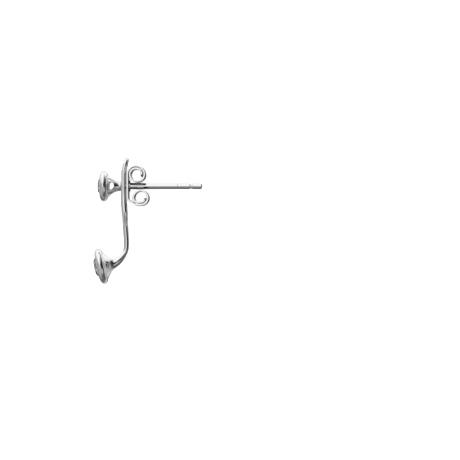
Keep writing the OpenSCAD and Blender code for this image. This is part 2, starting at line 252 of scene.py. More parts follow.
class Cage:
    """Points and faces of a shape that is subdivided later."""

    def __init__(self):
        self.points = []
        self.faces = []

    def row(self, points):
        """Adds points and returns their numbers."""
        first = len(self.points)
        self.points += [Vector(p) for p in points]
        return list(range(first, len(self.points)))

    def skin(self, rows, closed=True):
        """Joins each row of points to the next with quads."""
        for one, other in zip(rows, rows[1:]):
            for i in range(len(one) if closed else len(one) - 1):
                j = (i + 1) % len(one)
                self.faces.append((one[i], one[j], other[j], other[i]))

    def fan(self, row, centre, closed=True):
        """Closes a row to one point."""
        tip = self.row([centre])[0]
        for i in range(len(row) if closed else len(row) - 1):
            self.faces.append((row[i], row[(i + 1) % len(row)], tip))

    def object(self, name, place=Matrix.Identity(4)):
        """Makes the cage an object, with doubled points merged and faces pointing outwards."""
        mesh = bpy.data.meshes.new(name)
        mesh.from_pydata([place @ p for p in self.points], [], self.faces)
        return tidy_mesh(mesh_object(name, mesh))


def mesh_object(name, mesh):
    """Links a mesh to the scene as an object at the origin."""
    thing = bpy.data.objects.new(name, mesh)
    bpy.context.collection.objects.link(thing)
    return thing


def tidy_mesh(thing):
    """Merges doubled points and turns the faces outwards."""
    work = bmesh.new()
    work.from_mesh(thing.data)
    bmesh.ops.remove_doubles(work, verts=work.verts, dist=WELD)
    bmesh.ops.recalc_face_normals(work, faces=work.faces)
    work.to_mesh(thing.data)
    work.free()
    return thing


def baked(thing):
    """Turns an object's modifiers into its plain mesh."""
    graph = bpy.context.evaluated_depsgraph_get()
    mesh = bpy.data.meshes.new_from_object(thing.evaluated_get(graph), depsgraph=graph)
    thing.modifiers.clear()
    old = thing.data
    thing.data = mesh
    mesh.name = thing.name
    bpy.data.meshes.remove(old)
    return thing


def subdivided(thing, rounds=3):
    """Subdivides a cage so that the smooth surface still passes through the cage's points."""
    layer = thing.modifiers.new("Round", "SUBSURF")
    layer.levels = layer.render_levels = SUBDIVISIONS
    goals = [v.co.copy() for v in thing.data.vertices]
    for _ in range(rounds):
        graph = bpy.context.evaluated_depsgraph_get()
        now = [v.co.copy() for v in thing.evaluated_get(graph).data.vertices[:len(goals)]]
        for vertex, goal, place in zip(thing.data.vertices, goals, now):
            vertex.co += goal - place
        thing.data.update()
    return baked(thing)


def painted(thing, paint):
    """Gives every face the same material."""
    thing.data.materials.clear()
    thing.data.materials.append(paint)
    thing.data.polygons.foreach_set("material_index", [0] * len(thing.data.polygons))


def shade(thing, smooth_faces=True, sharp=None):
    """Sets smooth or flat shading, with edges over an angle kept sharp."""
    for face in thing.data.polygons:
        face.use_smooth = smooth_faces
    if sharp is not None:
        thing.data.set_sharp_from_angle(angle=math.radians(sharp))


def walk(rows, at, heading, step, turn_step=math.inf):
    """Stops of place, heading and run along straights and arcs, each given by its length and its turn."""
    run = 0.0
    stops = [(at.copy(), heading, run)]
    for long, turn in rows:
        count = max(1, math.ceil(abs(math.degrees(turn)) / turn_step), math.ceil(long / step))
        for _ in range(count):
            middle = heading + turn / count / 2
            at = at + long / count * Vector((math.cos(middle), math.sin(middle)))
            heading += turn / count
            run += long / count
            stops.append((at.copy(), heading, run))
    return stops


class Nodes:
    """Adds nodes to a tree. An input is a value, a socket, or a node whose first output feeds it."""

    def __init__(self, tree):
        self.tree = tree

    def add(self, kind, inputs=(), **settings):
        """Makes a node and returns it."""
        node = self.tree.nodes.new(kind)
        for key, value in settings.items():
            setattr(node, key, value)
        self.feed(node, dict(inputs))
        return node

    def feed(self, node, inputs):
        """Sets or links a node's inputs, by their names or numbers."""
        for key, value in inputs.items():
            if isinstance(value, bpy.types.Node):
                value = value.outputs[0]
            if isinstance(value, bpy.types.NodeSocket):
                self.tree.links.new(value, node.inputs[key])
            else:
                node.inputs[key].default_value = value

    def work_out(self, operation, one, other=0.0):
        """A sum of one or two numbers."""
        return self.add("ShaderNodeMath", {0: one, 1: other}, operation=operation)

    def remap(self, value, low, high, to_low=0.0, to_high=1.0):
        """Turns a value's range into another."""
        return self.add("ShaderNodeMapRange", {
            "Value": value, "From Min": low, "From Max": high, "To Min": to_low, "To Max": to_high})


def start_tree(name, inputs):
    """A Geometry Nodes tree with named inputs. Returns its node maker and its inputs' sockets."""
    tree = bpy.data.node_groups.new(name, "GeometryNodeTree")
    tree.is_modifier = True
    for label, kind in [("Geometry", "Geometry")] + inputs:
        tree.interface.new_socket(label, in_out="INPUT", socket_type="NodeSocket" + kind)
    tree.interface.new_socket("Geometry", in_out="OUTPUT", socket_type="NodeSocketGeometry")
    nodes = Nodes(tree)
    return nodes, nodes.add("NodeGroupInput").outputs


def end_tree(nodes, given, shape):
    """Makes a tree's shape real, welds it and gives it its material."""
    real = nodes.add("GeometryNodeRealizeInstances", {0: shape})
    weld = nodes.add("GeometryNodeMergeByDistance", {"Geometry": real, "Distance": given["Weld"]})
    paint = nodes.add("GeometryNodeSetMaterial", {"Geometry": weld, "Material": given["Material"]})
    nodes.add("NodeGroupOutput", {0: paint})
    return nodes.tree


def run_tree(thing, tree, values):
    """Runs a Geometry Nodes tree on an object and keeps the result as its plain mesh."""
    layer = thing.modifiers.new(tree.name, "NODES")
    layer.node_group = tree
    sockets = {s.name: s.identifier for s in tree.interface.items_tree if s.in_out == "INPUT"}
    for label, value in values.items():
        layer[sockets[label]] = value
    return baked(thing)


def turned_tree():
    """Repeats one sector round the Z axis and welds the copies to one another."""
    nodes, given = start_tree("Turned Sectors", [
        ("Count", "Int"), ("Weld", "Float"), ("Material", "Material")])
    points = nodes.add("GeometryNodeMeshLine", {"Count": given["Count"], "Offset": (0, 0, 0)})
    step = nodes.work_out("DIVIDE", 2 * math.pi, given["Count"])
    turn = nodes.work_out("MULTIPLY", step, nodes.add("GeometryNodeInputIndex"))
    spin = nodes.add("ShaderNodeCombineXYZ", {"Z": turn})
    copies = nodes.add("GeometryNodeInstanceOnPoints", {
        "Points": points, "Instance": given["Geometry"], "Rotation": spin})
    return end_tree(nodes, given, copies)


def turned(thing, count, material):
    """Runs the turned tree on a sector."""
    tree = bpy.data.node_groups.get("Turned Sectors") or turned_tree()
    return run_tree(thing, tree, {"Count": count, "Weld": WELD, "Material": material})


def strip_tree():
    """Sweeps a flat strip with rounded edges along a line and narrows it by the line's own width."""
    nodes, given = start_tree("Rolled Strip", [
        ("Thickness", "Float"), ("Width", "Float"), ("Edge", "Float"), ("Weld", "Float"),
        ("Material", "Material")])
    line = nodes.add("GeometryNodeMeshToCurve", {0: given["Geometry"]})
    upright = nodes.add("GeometryNodeSetCurveNormal", {0: line}, mode="Z_UP")
    section = nodes.add("GeometryNodeCurvePrimitiveQuadrilateral", {
        "Width": given["Thickness"], "Height": given["Width"]})
    rounded = nodes.add("GeometryNodeFilletCurve", {
        "Curve": section, "Radius": given["Edge"], "Count": 4}, mode="POLY")
    sweep = nodes.add("GeometryNodeCurveToMesh", {
        "Curve": upright, "Profile Curve": rounded, "Fill Caps": True})
    width = nodes.add("GeometryNodeInputNamedAttribute", {"Name": "width_share"}, data_type="FLOAT")
    scale = nodes.add("ShaderNodeCombineXYZ", {"X": 1.0, "Y": 1.0, "Z": width.outputs["Attribute"]})
    place = nodes.add("GeometryNodeInputPosition")
    narrowed = nodes.add("ShaderNodeVectorMath", {0: place, 1: scale}, operation="MULTIPLY")
    moved = nodes.add("GeometryNodeSetPosition", {"Geometry": sweep, "Position": narrowed})
    return end_tree(nodes, given, moved)


class Setting:
    """A rim with its cup and gallery, turned about Z with the stone facing +Z."""

    def __init__(self, piece):
        stones, metal = sizes().stones, sizes().settings
        self.stones, self.metal = stones, metal
        for key in ("depth", "flare", "windows", "window_w", "window_h"):
            setattr(self, key, getattr(metal, f"{piece}_{key}"))
        self.stone_d = getattr(stones, f"{piece}_d")
        self.stone_r = self.stone_d / 2
        self.rim_r = self.stone_r + metal.band
        self.half = metal.width / 2
        self.neck_r = metal.neck_d / 2
        gap, lap = metal.gap, metal.lip_lap
        self.girdle_top = (
            self.half - metal.lip_t - gap / math.cos(stones.crown) - lap * math.tan(stones.crown))
        self.girdle_low = self.girdle_top - stones.girdle_t
        self.window_top = -self.half - metal.window_back
        self.window_low = self.window_top - self.window_h

    def cup_r(self, z):
        """Radius of the cup's outside at a height."""
        t = min(max((-z - self.half) / (self.depth - self.half), 0.0), 1.0)
        top = self.rim_r - self.metal.back
        return self.neck_r + (top - self.neck_r) * (1 - t) ** self.flare

    def hollow_r(self, z):
        """Radius of the cup's inside at a height."""
        ledge = self.stone_r - self.metal.ledge
        return max(min(ledge, self.cup_r(z) - self.metal.wall), HOLLOW_LEAST * self.neck_r)

    def seat_z(self, r):
        """Height of the seat under the stone's pavilion."""
        slope = self.stones.pavilion
        return self.girdle_low - self.metal.gap / math.cos(slope) - (self.stone_r - r) * math.tan(slope)

    def rim_rows(self):
        """Radius and height of each row from the ledge's inner edge over the rim to the cup."""
        metal, half, rim_r = self.metal, self.half, self.rim_r
        pocket = self.stone_r + metal.gap
        ledge = self.stone_r - metal.ledge
        lip = self.stone_r - metal.lip_lap
        rows = [
            (ledge, self.seat_z(ledge) - 0.1 * MM),
            (ledge, self.seat_z(ledge) - 0.02 * MM),
            (ledge + 0.02 * MM, self.seat_z(ledge + 0.02 * MM)),
            (pocket - 0.02 * MM, self.seat_z(pocket)),
            (pocket, self.seat_z(pocket) + 0.03 * MM),
            (pocket, half - metal.lip_t - 0.02 * MM),
            (lip + 0.01 * MM, half - metal.lip_t),
            (lip, half - metal.lip_t / 2),
            (lip + 0.01 * MM, half),
        ]
        for step in range(7):
            turn = math.radians(90 - 15 * step)
            rows.append((self.stone_r + metal.band * math.cos(turn), half * math.sin(turn)))
        for step in (1, 2, 3):
            turn = math.radians(30 * step)
            rows.append((rim_r - metal.back + metal.back * math.cos(turn), -half * math.sin(turn)))
        rows.append((self.cup_r(-half - 0.05 * MM), -half - 0.05 * MM))
        return rows

    def ring(self, turn_from, turn_to, steps, r, z):
        """Points of a row round the axis."""
        turns = [mix(turn_from, turn_to, i / steps) for i in range(steps + 1)]
        return [(r * math.cos(a), r * math.sin(a), z) for a in turns]

    def window_point(self, lap, inside):
        """Turn and height of a point on a window's edge, with lap from 0 to 1 round it."""
        a = 2 * math.pi * lap - math.pi / 4
        egg = 1 + self.metal.window_egg * math.cos(a)
        across = self.window_w / 2 * math.sin(a) * egg
        z = mix(self.window_low, self.window_top, (1 + math.cos(a)) / 2)
        radius = self.hollow_r(z) if inside else self.cup_r(z)
        return math.asin(max(min(across / radius, WINDOW_REACH), -WINDOW_REACH)), z

    def wall(self, cage, inside, z_top, z_low):
        """One sector's wall round its window. Returns the rows at its top and foot and its window."""
        side = COLUMNS // self.windows
        corner = math.pi / self.windows
        ends = [(-corner, z_top), (corner, z_top), (corner, z_low), (-corner, z_low), (-corner, z_top)]
        edge = []
        for (turn_a, z_a), (turn_b, z_b) in zip(ends, ends[1:]):
            edge += [(mix(turn_a, turn_b, i / side), mix(z_a, z_b, i / side)) for i in range(side)]
        window = [self.window_point(i / len(edge), inside) for i in range(len(edge))]
        radius = self.hollow_r if inside else self.cup_r
        rings = []
        for blend in (0, 0.5, 0.82, 1):
            points = []
            for (turn_a, z_a), (turn_b, z_b) in zip(edge, window):
                turn, z = mix(turn_a, turn_b, blend), mix(z_a, z_b, blend)
                r = radius(z)
                points.append((r * math.cos(turn), r * math.sin(turn), z))
            rings.append(cage.row(points))
        cage.skin(rings)
        outer = rings[0]
        return outer[:side + 1], outer[2 * side:3 * side + 1][::-1], rings[-1]

    def sector(self, name):
        """One sector of the setting, with one window, as a cage."""
        cage = Cage()
        corner = math.pi / self.windows
        side = COLUMNS // self.windows

        def strip(r, z):
            return cage.row(self.ring(-corner, corner, side, r, z))

        rows = [strip(r, z) for r, z in self.rim_rows()]
        out_top = self.window_top + 0.3 * self.metal.window_back
        out_low = self.window_low - 0.14 * MM
        top, foot, outer_window = self.wall(cage, False, out_top, out_low)
        neck = [mix(out_low, -self.depth, t) for t in (0.35, 0.7, 1)]
        cage.skin([foot] + [strip(self.cup_r(z), z) for z in neck], closed=False)
        cage.skin(rows + [top], closed=False)
        in_top = min(self.window_top + 0.1 * MM, self.seat_z(self.stone_r - self.metal.ledge) - 0.12 * MM)
        in_low = self.window_low - self.metal.window_foot
        top, foot, inner_window = self.wall(cage, True, in_top, in_low)
        cage.skin([rows[0], top], closed=False)
        floor = strip(self.hollow_r(in_low) * 0.6, in_low - 0.04 * MM)
        cage.skin([foot, floor], closed=False)
        cage.fan(floor, (0, 0, in_low - 0.05 * MM), closed=False)
        cage.skin([outer_window, inner_window])
        return cage.object(name)


def brilliant_sector(name, diameter):
    """One eighth of a round brilliant, with its table up and the top of its girdle at zero."""
    stones = sizes().stones
    r = diameter / 2
    table_r = r * stones.table
    eighth = math.pi / 8
    star_r = r * mix(stones.table, 1, stones.star) / math.cos(eighth)
    kite_r = r * stones.kite
    crown_h = (r - table_r) * math.tan(stones.crown)
    star_z = (r - star_r * math.cos(eighth)) * math.tan(stones.crown)
    low = -stones.girdle_t
    kite_z = low - (r - kite_r * math.cos(eighth)) * math.tan(stones.pavilion)
    culet_z = low - r * math.tan(stones.pavilion)

    def at(radius, step, z):
        return (radius * math.cos(eighth * step), radius * math.sin(eighth * step), z)

    cage = Cage()
    centre, table_a, table_b = cage.row([(0, 0, crown_h), at(table_r, 0, crown_h), at(table_r, 2, crown_h)])
    star, star_before = cage.row([at(star_r, 1, star_z), at(star_r, -1, star_z)])
    up = cage.row([at(r, i, 0) for i in range(3)])
    down = cage.row([at(r, i, low) for i in range(3)])
    kite, kite_before, culet = cage.row([at(kite_r, 1, kite_z), at(kite_r, -1, kite_z), (0, 0, culet_z)])
    cage.faces += [
        (centre, table_a, table_b),
        (table_a, star, table_b),
        (table_a, star_before, up[0], star),
        (star, up[0], up[1]),
        (star, up[1], up[2]),
        (up[0], down[0], down[1], up[1]),
        (up[1], down[1], down[2], up[2]),
        (down[0], kite, down[1]),
        (down[1], kite, down[2]),
        (down[0], kite_before, culet, kite),
    ]
    return cage.object(name)


def place_in_jacket():
    """From the bar's own frame, with its origin on the post's axis, to where the jacket lies."""
    stones = sizes().stones
    down = -Bar().head_at().y
    roll = -math.asin((stones.jacket_d - stones.stud_d) / 2 / down)
    return Matrix.Translation(post_point()) @ Matrix.Rotation(roll, 4, "X")


def jacket_head_place():
    """From the jacket's setting's own frame to where it lies."""
    at = Bar().head_at()
    facing = Matrix.Rotation(sizes().bar.head_dip, 4, "Z") @ Matrix.Rotation(-math.pi / 2, 4, "Y")
    return place_in_jacket() @ Matrix.Translation((at.x, at.y, 0)) @ facing


def stud_head_place():
    """From the stud's setting's own frame to where it lies."""
    settings = sizes().settings
    shift = Matrix.Translation((setting_x() - settings.stud_depth, 0, 0))
    facing = Matrix.Rotation(-math.pi / 2, 4, "Y")
    turn = Matrix.Rotation(settings.stud_turn, 4, "Z")
    return Matrix.Translation(post_point()) @ shift @ facing @ turn


class Bar:
    """The jacket's bar: its middle line and its sections, by the distance below the post."""

    STEP = 0.05 * MM
    SOLDER = 0.15 * MM

    def __init__(self):
        bar = self.sizes = sizes().bar
        tab_r = bar.tab_w / 2
        rise = [(s * (bar.rise - tab_r), -t * bar.top_lean) for s, t in RISE_BENDS]
        fall = [(s * bar.run, t * bar.slant) for s, t in RUN_BENDS]
        fall += [(s * bar.hook, -t * bar.hook_turn) for s, t in HOOK_BENDS]
        self.rise = walk(rise, Vector((0, 0)), math.pi / 2, self.STEP)
        self.fall = walk(fall, Vector((0, 0)), -math.pi / 2, self.STEP)

    def stop(self, s):
        """Place and heading on the middle line, s below the post (or above it, if negative)."""
        stops, run, back = (self.fall, s, 0) if s >= 0 else (self.rise, -s, math.pi)
        if run >= stops[-1][2]:
            at, heading, end = stops[-1]
            at = at + (run - end) * Vector((math.cos(heading), math.sin(heading)))
            return at, heading + back
        step = next(i for i in range(len(stops) - 1) if stops[i + 1][2] >= run)
        (a, ha, ra), (b, hb, rb) = stops[step], stops[step + 1]
        t = (run - ra) / (rb - ra)
        return a.lerp(b, t), mix(ha, hb, t) + back

    def head_at(self):
        """Middle of the rim of the jacket's setting."""
        end = self.fall[-1][0]
        heading = math.pi + self.sizes.head_dip
        reach = sizes().settings.jacket_depth - self.SOLDER
        return end + reach * Vector((math.cos(heading), math.sin(heading)))

    def to_space(self, s, out, across):
        """A point beside the middle line: out towards the back, across along the post's Z."""
        at, heading = self.stop(s)
        return Vector((at.x - out * math.sin(heading), at.y + out * math.cos(heading), across))

    def wire_share(self, s):
        """0 on the flat tab and 1 on the round wire."""
        return smooth((s - self.sizes.fall) / self.sizes.taper)

    def half_t(self, s):
        """Half the thickness of the flat section."""
        bar = self.sizes
        return mix(bar.tab_t, bar.wire_d, smooth((s - bar.thick_from) / bar.thick_long)) / 2

    def section(self, s, narrow=1.0, thin=1.0):
        """One ring of points: some round each long edge and the rest across the flat sides."""
        bar = self.sizes
        round_share = self.wire_share(s)
        flare_from = bar.run + bar.hook * NECK_FROM
        flare = smooth((s - flare_from) / (bar.run + bar.hook - flare_from)) ** NECK_FLARE
        wire_r = mix(bar.wire_d, sizes().settings.neck_d - 0.05 * MM, flare) / 2
        half_t = self.half_t(s) * thin
        half_w = bar.tab_w / 2 * narrow
        edge = min(bar.edge, half_w * 0.8)
        points = []
        for i in range(COLUMNS):
            turn = 2 * math.pi * i / COLUMNS
            ring = Vector((-wire_r * math.sin(turn), wire_r * math.cos(turn)))
            flat = self.flat_point(i, half_w, half_t, edge)
            point = flat.lerp(ring, round_share)
            points.append(self.to_space(s, point.x, point.y))
        return points

    def flat_point(self, i, half_w, half_t, edge):
        """A point of the flat section, as out and across."""
        half = COLUMNS // 2
        reach = half_w - edge
        if i <= CORNER or i >= COLUMNS - CORNER:
            turn = math.pi / 2 * (i if i <= CORNER else i - COLUMNS) / CORNER
            return Vector((-half_t * math.sin(turn), reach + edge * math.cos(turn)))
        if abs(i - half) <= CORNER:
            turn = math.pi / 2 * (i - half) / CORNER
            return Vector((half_t * math.sin(turn), -reach - edge * math.cos(turn)))
        flat = half - 2 * CORNER
        if i < half:
            return Vector((-half_t, mix(reach, -reach, (i - CORNER) / flat)))
        return Vector((half_t, mix(-reach, reach, (i - half - CORNER) / flat)))

    def cell(self, cage, top, s_top, s_low, hole_s):
        """A stretch of the tab with one hole in it, below the ring that is given. Returns its lowest ring."""
        half = COLUMNS // 2
        steps = half - 2 * CORNER
        bands = [[(side + j) % COLUMNS for j in range(-CORNER, CORNER + 1)] for side in (0, half)]
        rows = [dict(enumerate(top))]
        for k in range(1, steps + 1):
            s = mix(s_top, s_low, k / steps)
            points = self.section(s, self.end_share(s))
            kept = range(COLUMNS) if k == steps else sorted(bands[0] + bands[1])
            rows.append(dict(zip(kept, cage.row([points[i] for i in kept]))))
        for band in bands:
            cage.skin([[row[i] for i in band] for row in rows], closed=False)
        # Each flat side's loop runs from its first upper corner across, down, back and up
        edges = []
        for side, first in ((-1, CORNER), (1, half + CORNER)):
            last = first + steps
            loop = [rows[0][(first + j) % COLUMNS] for j in range(steps)]
            loop += [rows[j][last % COLUMNS] for j in range(steps)]
            loop += [rows[steps][(last - j) % COLUMNS] for j in range(steps)]
            loop += [rows[steps - j][first] for j in range(steps)]
            edges.append(self.hole_side(cage, loop, side, hole_s))
        count = len(edges[0])
        # The back's loop starts at the other edge, so its points are taken in mirrored order
        back = [edges[1][(steps - j) % count] for j in range(count)]
        wall = [
            cage.row([self.hole_point(hole_s, 0, j, count, out, -1) for j in range(count)])
            for out in (-HOLE_WALL, 0, HOLE_WALL)]
        cage.skin([edges[0], *wall, back])
        return list(rows[-1].values())

    def hole_point(self, hole_s, rim, j, count, out, side):
        """A point round a hole, rim beyond its radius and out as a share of half the thickness."""
        radius = sizes().post.d / 2 + self.sizes.hole_play + rim
        turn = 2 * math.pi * j / count - math.pi / 4
        across = side * radius * math.sin(turn)
        up = radius * math.cos(turn)
        at, heading = self.stop(hole_s)
        ahead = Vector((math.cos(heading), math.sin(heading)))
        aside = Vector((-math.sin(heading), math.cos(heading)))
        place = at - up * ahead + out * self.half_t(hole_s - up) * aside
        return Vector((place.x, place.y, across))

    def hole_side(self, cage, loop, side, hole_s):
        """The flat side round a hole. Returns the loop at the hole's rounded edge."""
        goals = [
            [self.hole_point(hole_s, rim, j, len(loop), side, side) for j in range(len(loop))]
            for rim in (0, *HOLE_RIMS)]
        halfway = [cage.points[number].lerp(goal, 0.45) for number, goal in zip(loop, goals[0])]
        rings = [loop] + [cage.row(points) for points in (halfway, *goals[1:])]
        cage.skin(rings)
        return rings[-1]

    def end_share(self, s):
        """How wide the tab is near its round top end, as a share of its width."""
        bar = self.sizes
        past = -s - (bar.rise - bar.tab_w / 2)
        if past <= 0:
            return 1.0
        return math.sqrt(max(1 - (past / (bar.tab_w / 2)) ** 2, 0.0))

    def end_thin(self, s):
        """How thick the tab is where its top end rounds over, as a share of its thickness."""
        bar = self.sizes
        short = max(bar.edge - (bar.rise + s), 0.0)
        return 1 - (bar.edge - math.sqrt(bar.edge ** 2 - short ** 2)) / (bar.tab_t / 2)


def post_rows():
    """Radius and distance behind the setting of each row of the post."""
    post, neck_r = sizes().post, sizes().settings.neck_d / 2
    r = post.d / 2
    plain_from, plain_steps = 0.08 * MM, 5
    rows = [
        (neck_r - 0.012 * MM, -0.04 * MM), (neck_r - 0.04 * MM, -0.008 * MM),
        (neck_r - 0.09 * MM, 0), (r + 0.05 * MM, 0), (r + 0.01 * MM, 0.02 * MM), (r, plain_from),
    ]
    narrow, wide = post.long - post.narrow_at, post.long - post.wide_at
    for i in range(1, plain_steps):
        rows.append((r, mix(plain_from, narrow - post.narrow_w, i / plain_steps)))
    for middle, width in ((narrow, post.narrow_w), (wide, post.wide_w)):
        for at, deep in GROOVE:
            rows.append((r - post.groove_t * deep, middle + at * width))
    for step in range(5):
        turn = math.radians(18 * step)
        rows.append((
            r - post.tip_r + post.tip_r * math.cos(turn),
            post.long - post.tip_r + post.tip_r * math.sin(turn)))
    rows.append(((r - post.tip_r) * 0.9, post.long))
    return rows


def extend(thing, z, rows, tip):
    """Carries a turned cage on from its open ring at a height, and closes it at its tip."""
    work = bmesh.new()
    work.from_mesh(thing.data)
    ring = open_ring(work, z)
    turns = [math.atan2(v.co.y, v.co.x) for v in ring]
    for r, height in rows:
        row = [work.verts.new((r * math.cos(a), r * math.sin(a), height)) for a in turns]
        join_rings(work, ring, row)
        ring = row
    last = work.verts.new(tip)
    for i in range(len(ring)):
        work.faces.new((ring[i], ring[(i + 1) % len(ring)], last))
    work.to_mesh(thing.data)
    work.free()


def open_ring(work, z):
    """The points of a cage's open ring, in order round the axis."""
    ring = [v for v in work.verts if v.is_boundary and abs(v.co.z - z) < WELD]
    if len(ring) != COLUMNS:
        raise RuntimeError(f"the open ring has {len(ring)} points")
    return sorted(ring, key=lambda v: math.atan2(v.co.y, v.co.x) % (2 * math.pi - 1e-4))


def join_rings(work, one, other):
    """Joins two rings of points with quads."""
    for i in range(len(one)):
        j = (i + 1) % len(one)
        work.faces.new((one[i], one[j], other[j], other[i]))


def material(name):
    """A new material, with its node maker and its shader."""
    paint = bpy.data.materials.new(name)
    paint.use_nodes = True
    return paint, Nodes(paint.node_tree), paint.node_tree.nodes["Principled BSDF"]


def silver(name, marks, seed, rolled=False):
    """Polished silver with fine handling marks, with painted shade darkening its hollows and, when rolled is
    set, painted shade darkening the faces that do not look up or down.
    """
    finish = sizes().finish
    paint, nodes, shader = material(name)
    place = nodes.add("ShaderNodeTexCoord").outputs
    clouds = nodes.add("ShaderNodeTexNoise", {"Vector": place["Object"], "Scale": 900, "Detail": 3})
    gloss = nodes.remap(clouds.outputs["Fac"], 0.35, 0.7, finish.polish, finish.wear)
    # Painted shade: ambient occlusion darkens the base colour towards the shade grey in hollows and between
    # parts
    recess_shade = nodes.add("ShaderNodeAmbientOcclusion", {"Distance": RECESS_SHADE_REACH}, samples=8)
    unshaded = nodes.remap(recess_shade.outputs["AO"], 0.15, 0.6)
    # Painted shade: faces turned away from up and down are darkened towards the shade grey, standing in for
    # dark reflections on the strip's side faces
    if rolled:
        parts = nodes.add("ShaderNodeSeparateXYZ", {0: place["Normal"]})
        side_unshaded = nodes.remap(nodes.work_out("ABSOLUTE", parts.outputs["Z"]), 0.6, 0.95, SIDE_SHADE_BRIGHTNESS)
        unshaded = nodes.work_out("MULTIPLY", unshaded, side_unshaded)
    tone = nodes.add("ShaderNodeMix", data_type="RGBA")
    nodes.feed(tone, {"Factor": unshaded, "A": (*finish.recess_shade, 1), "B": (*finish.silver, 1)})
    stretch = nodes.add("ShaderNodeMapping", {
        "Vector": place["Object"], "Location": (seed, seed, seed), "Scale": marks})
    scratches = nodes.add("ShaderNodeTexNoise", {"Vector": stretch, "Scale": 4000, "Detail": 2})
    relief = nodes.add("ShaderNodeBump", {
        "Height": scratches.outputs["Fac"], "Strength": 0.5, "Distance": finish.scratch})
    nodes.feed(shader, {
        "Metallic": 1.0, "Base Color": tone.outputs["Result"], "Roughness": gloss, "Normal": relief})
    return paint


def clear_stone():
    """A colourless stone with a high refractive index and faint smudges."""
    paint, nodes, shader = material("clear_stone")
    place = nodes.add("ShaderNodeTexCoord")
    smudge = nodes.add("ShaderNodeTexNoise", {"Vector": place.outputs["Object"], "Scale": 700, "Detail": 2})
    nodes.feed(shader, {
        "Base Color": (0.99, 0.99, 1.0, 1), "Transmission Weight": 1.0,
        "IOR": sizes().finish.stone_ior,
        "Roughness": nodes.remap(smudge.outputs["Fac"], 0.5, 0.8, 0.0, 0.03)})
    return paint


def dress(thing, body, node):
    """Puts a finished piece on its body in place of its node."""
    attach(thing, body)
    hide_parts(node)


class EARRING_OT_stones(bpy.types.Operator):
    """Cut the two round brilliants"""
    bl_idname = "earring.stones"
    bl_label = "Cut Stones"

    def execute(self, context):
        paint = clear_stone()
        for piece, place in (("stud", stud_head_place()), ("jacket", jacket_head_place())):
            setting = Setting(piece)
            stone = turned(brilliant_sector(f"{piece}_brilliant", setting.stone_d), 8, paint)
            stone.data.transform(place @ Matrix.Translation((0, 0, setting.girdle_top)))
            tidy_mesh(stone)
            shade(stone, smooth_faces=False)
            dress(stone, f"{piece}_body", f"{piece}_stone")
        return {"FINISHED"}


class EARRING_OT_stud(bpy.types.Operator):
    """Cast the stud: its setting, gallery and post"""
    bl_idname = "earring.stud"
    bl_label = "Cast Stud"

    def execute(self, context):
        paint = silver("stud_silver", (1.0, 6.0, 6.0), 1.0)
        setting = Setting("stud")
        stud = turned(setting.sector("stud_metal"), setting.windows, paint)
        rows = [(r, -setting.depth - back) for r, back in post_rows()]
        extend(stud, -setting.depth, rows, (0, 0, -setting.depth - sizes().post.long))
        tidy_mesh(stud)
        subdivided(stud)
        stud.data.transform(stud_head_place())
        painted(stud, paint)
        shade(stud)
        dress(stud, "stud_body", "stud")
        return {"FINISHED"}


class EARRING_OT_jacket(bpy.types.Operator):
    """Cast the jacket: its tab, bar, hook and setting"""
    bl_idname = "earring.jacket"
    bl_label = "Cast Jacket"

    def execute(self, context):
        paint = silver("jacket_silver", (6.0, 1.0, 6.0), 2.0)
        setting = Setting("jacket")
        jacket = turned(setting.sector("jacket_metal"), setting.windows, paint)
        jacket.data.transform(jacket_head_place())
        join_bar(jacket, bar_cage().object("jacket_bar", place_in_jacket()))
        subdivided(jacket)
        painted(jacket, paint)
        shade(jacket)
        dress(jacket, "jacket_body", "jacket")
        return {"FINISHED"}


def bar_cage():
    """The jacket's bar from its closed top end to its open end in the hook."""
    line, cage = Bar(), Cage()
    bar = line.sizes
    tab_r = bar.tab_w / 2
    rings = []
    for reach in (0.985, 0.93, 0.8, 0.62, 0.42):
        s = -(bar.rise - tab_r + tab_r * reach)
        rings.append(cage.row(line.section(s, line.end_share(s), line.end_thin(s))))
    cage.fan(rings[0], line.to_space(-bar.rise, 0, 0))
    s_top = -(bar.rise - tab_r + tab_r * 0.15)
    rings.append(cage.row(line.section(s_top, line.end_share(s_top))))
    cage.skin(rings)
    top = rings[-1]
    half_pitch = bar.hole_pitch / 2
    for s_low, hole in ((-half_pitch, -bar.hole_pitch), (half_pitch, 0), (bar.fall, bar.hole_pitch)):
        top = line.cell(cage, top, s_top, s_low, hole)
        s_top = s_low
    end = bar.run + bar.hook - JOIN
    stops = [mix(bar.fall, end, k / WIRE_ROWS) for k in range(1, WIRE_ROWS + 1)]
    cage.skin([top] + [cage.row(line.section(s)) for s in stops])
    return cage


def join_bar(head, bar):
    """Joins the bar's open end to the open neck of the setting, in one cage."""
    work = bmesh.new()
    work.from_mesh(head.data)
    work.from_mesh(bar.data)
    bpy.data.objects.remove(bar)
    rings = []
    seen = set()
    for vertex in work.verts:
        if not vertex.is_boundary or vertex in seen:
            continue
        ring = []
        near = [vertex]
        while near:
            ring.append(near[0])
            seen.add(near[0])
            others = [e.other_vert(ring[-1]) for e in ring[-1].link_edges if e.is_boundary]
            near = [v for v in others if v not in seen]
        rings.append(ring)
    if [len(r) for r in rings] != [COLUMNS, COLUMNS]:
        raise RuntimeError(f"the bar and the setting have open rings of {[len(r) for r in rings]}")
    neck, bar_end = rings
    orders = [
        way[shift:] + way[:shift] for way in (bar_end, bar_end[::-1]) for shift in range(COLUMNS)]
    nearest = min(orders, key=lambda order: sum((a.co - b.co).length for a, b in zip(neck, order)))
    join_rings(work, neck, nearest)
    bmesh.ops.recalc_face_normals(work, faces=work.faces)
    work.to_mesh(head.data)
    work.free()


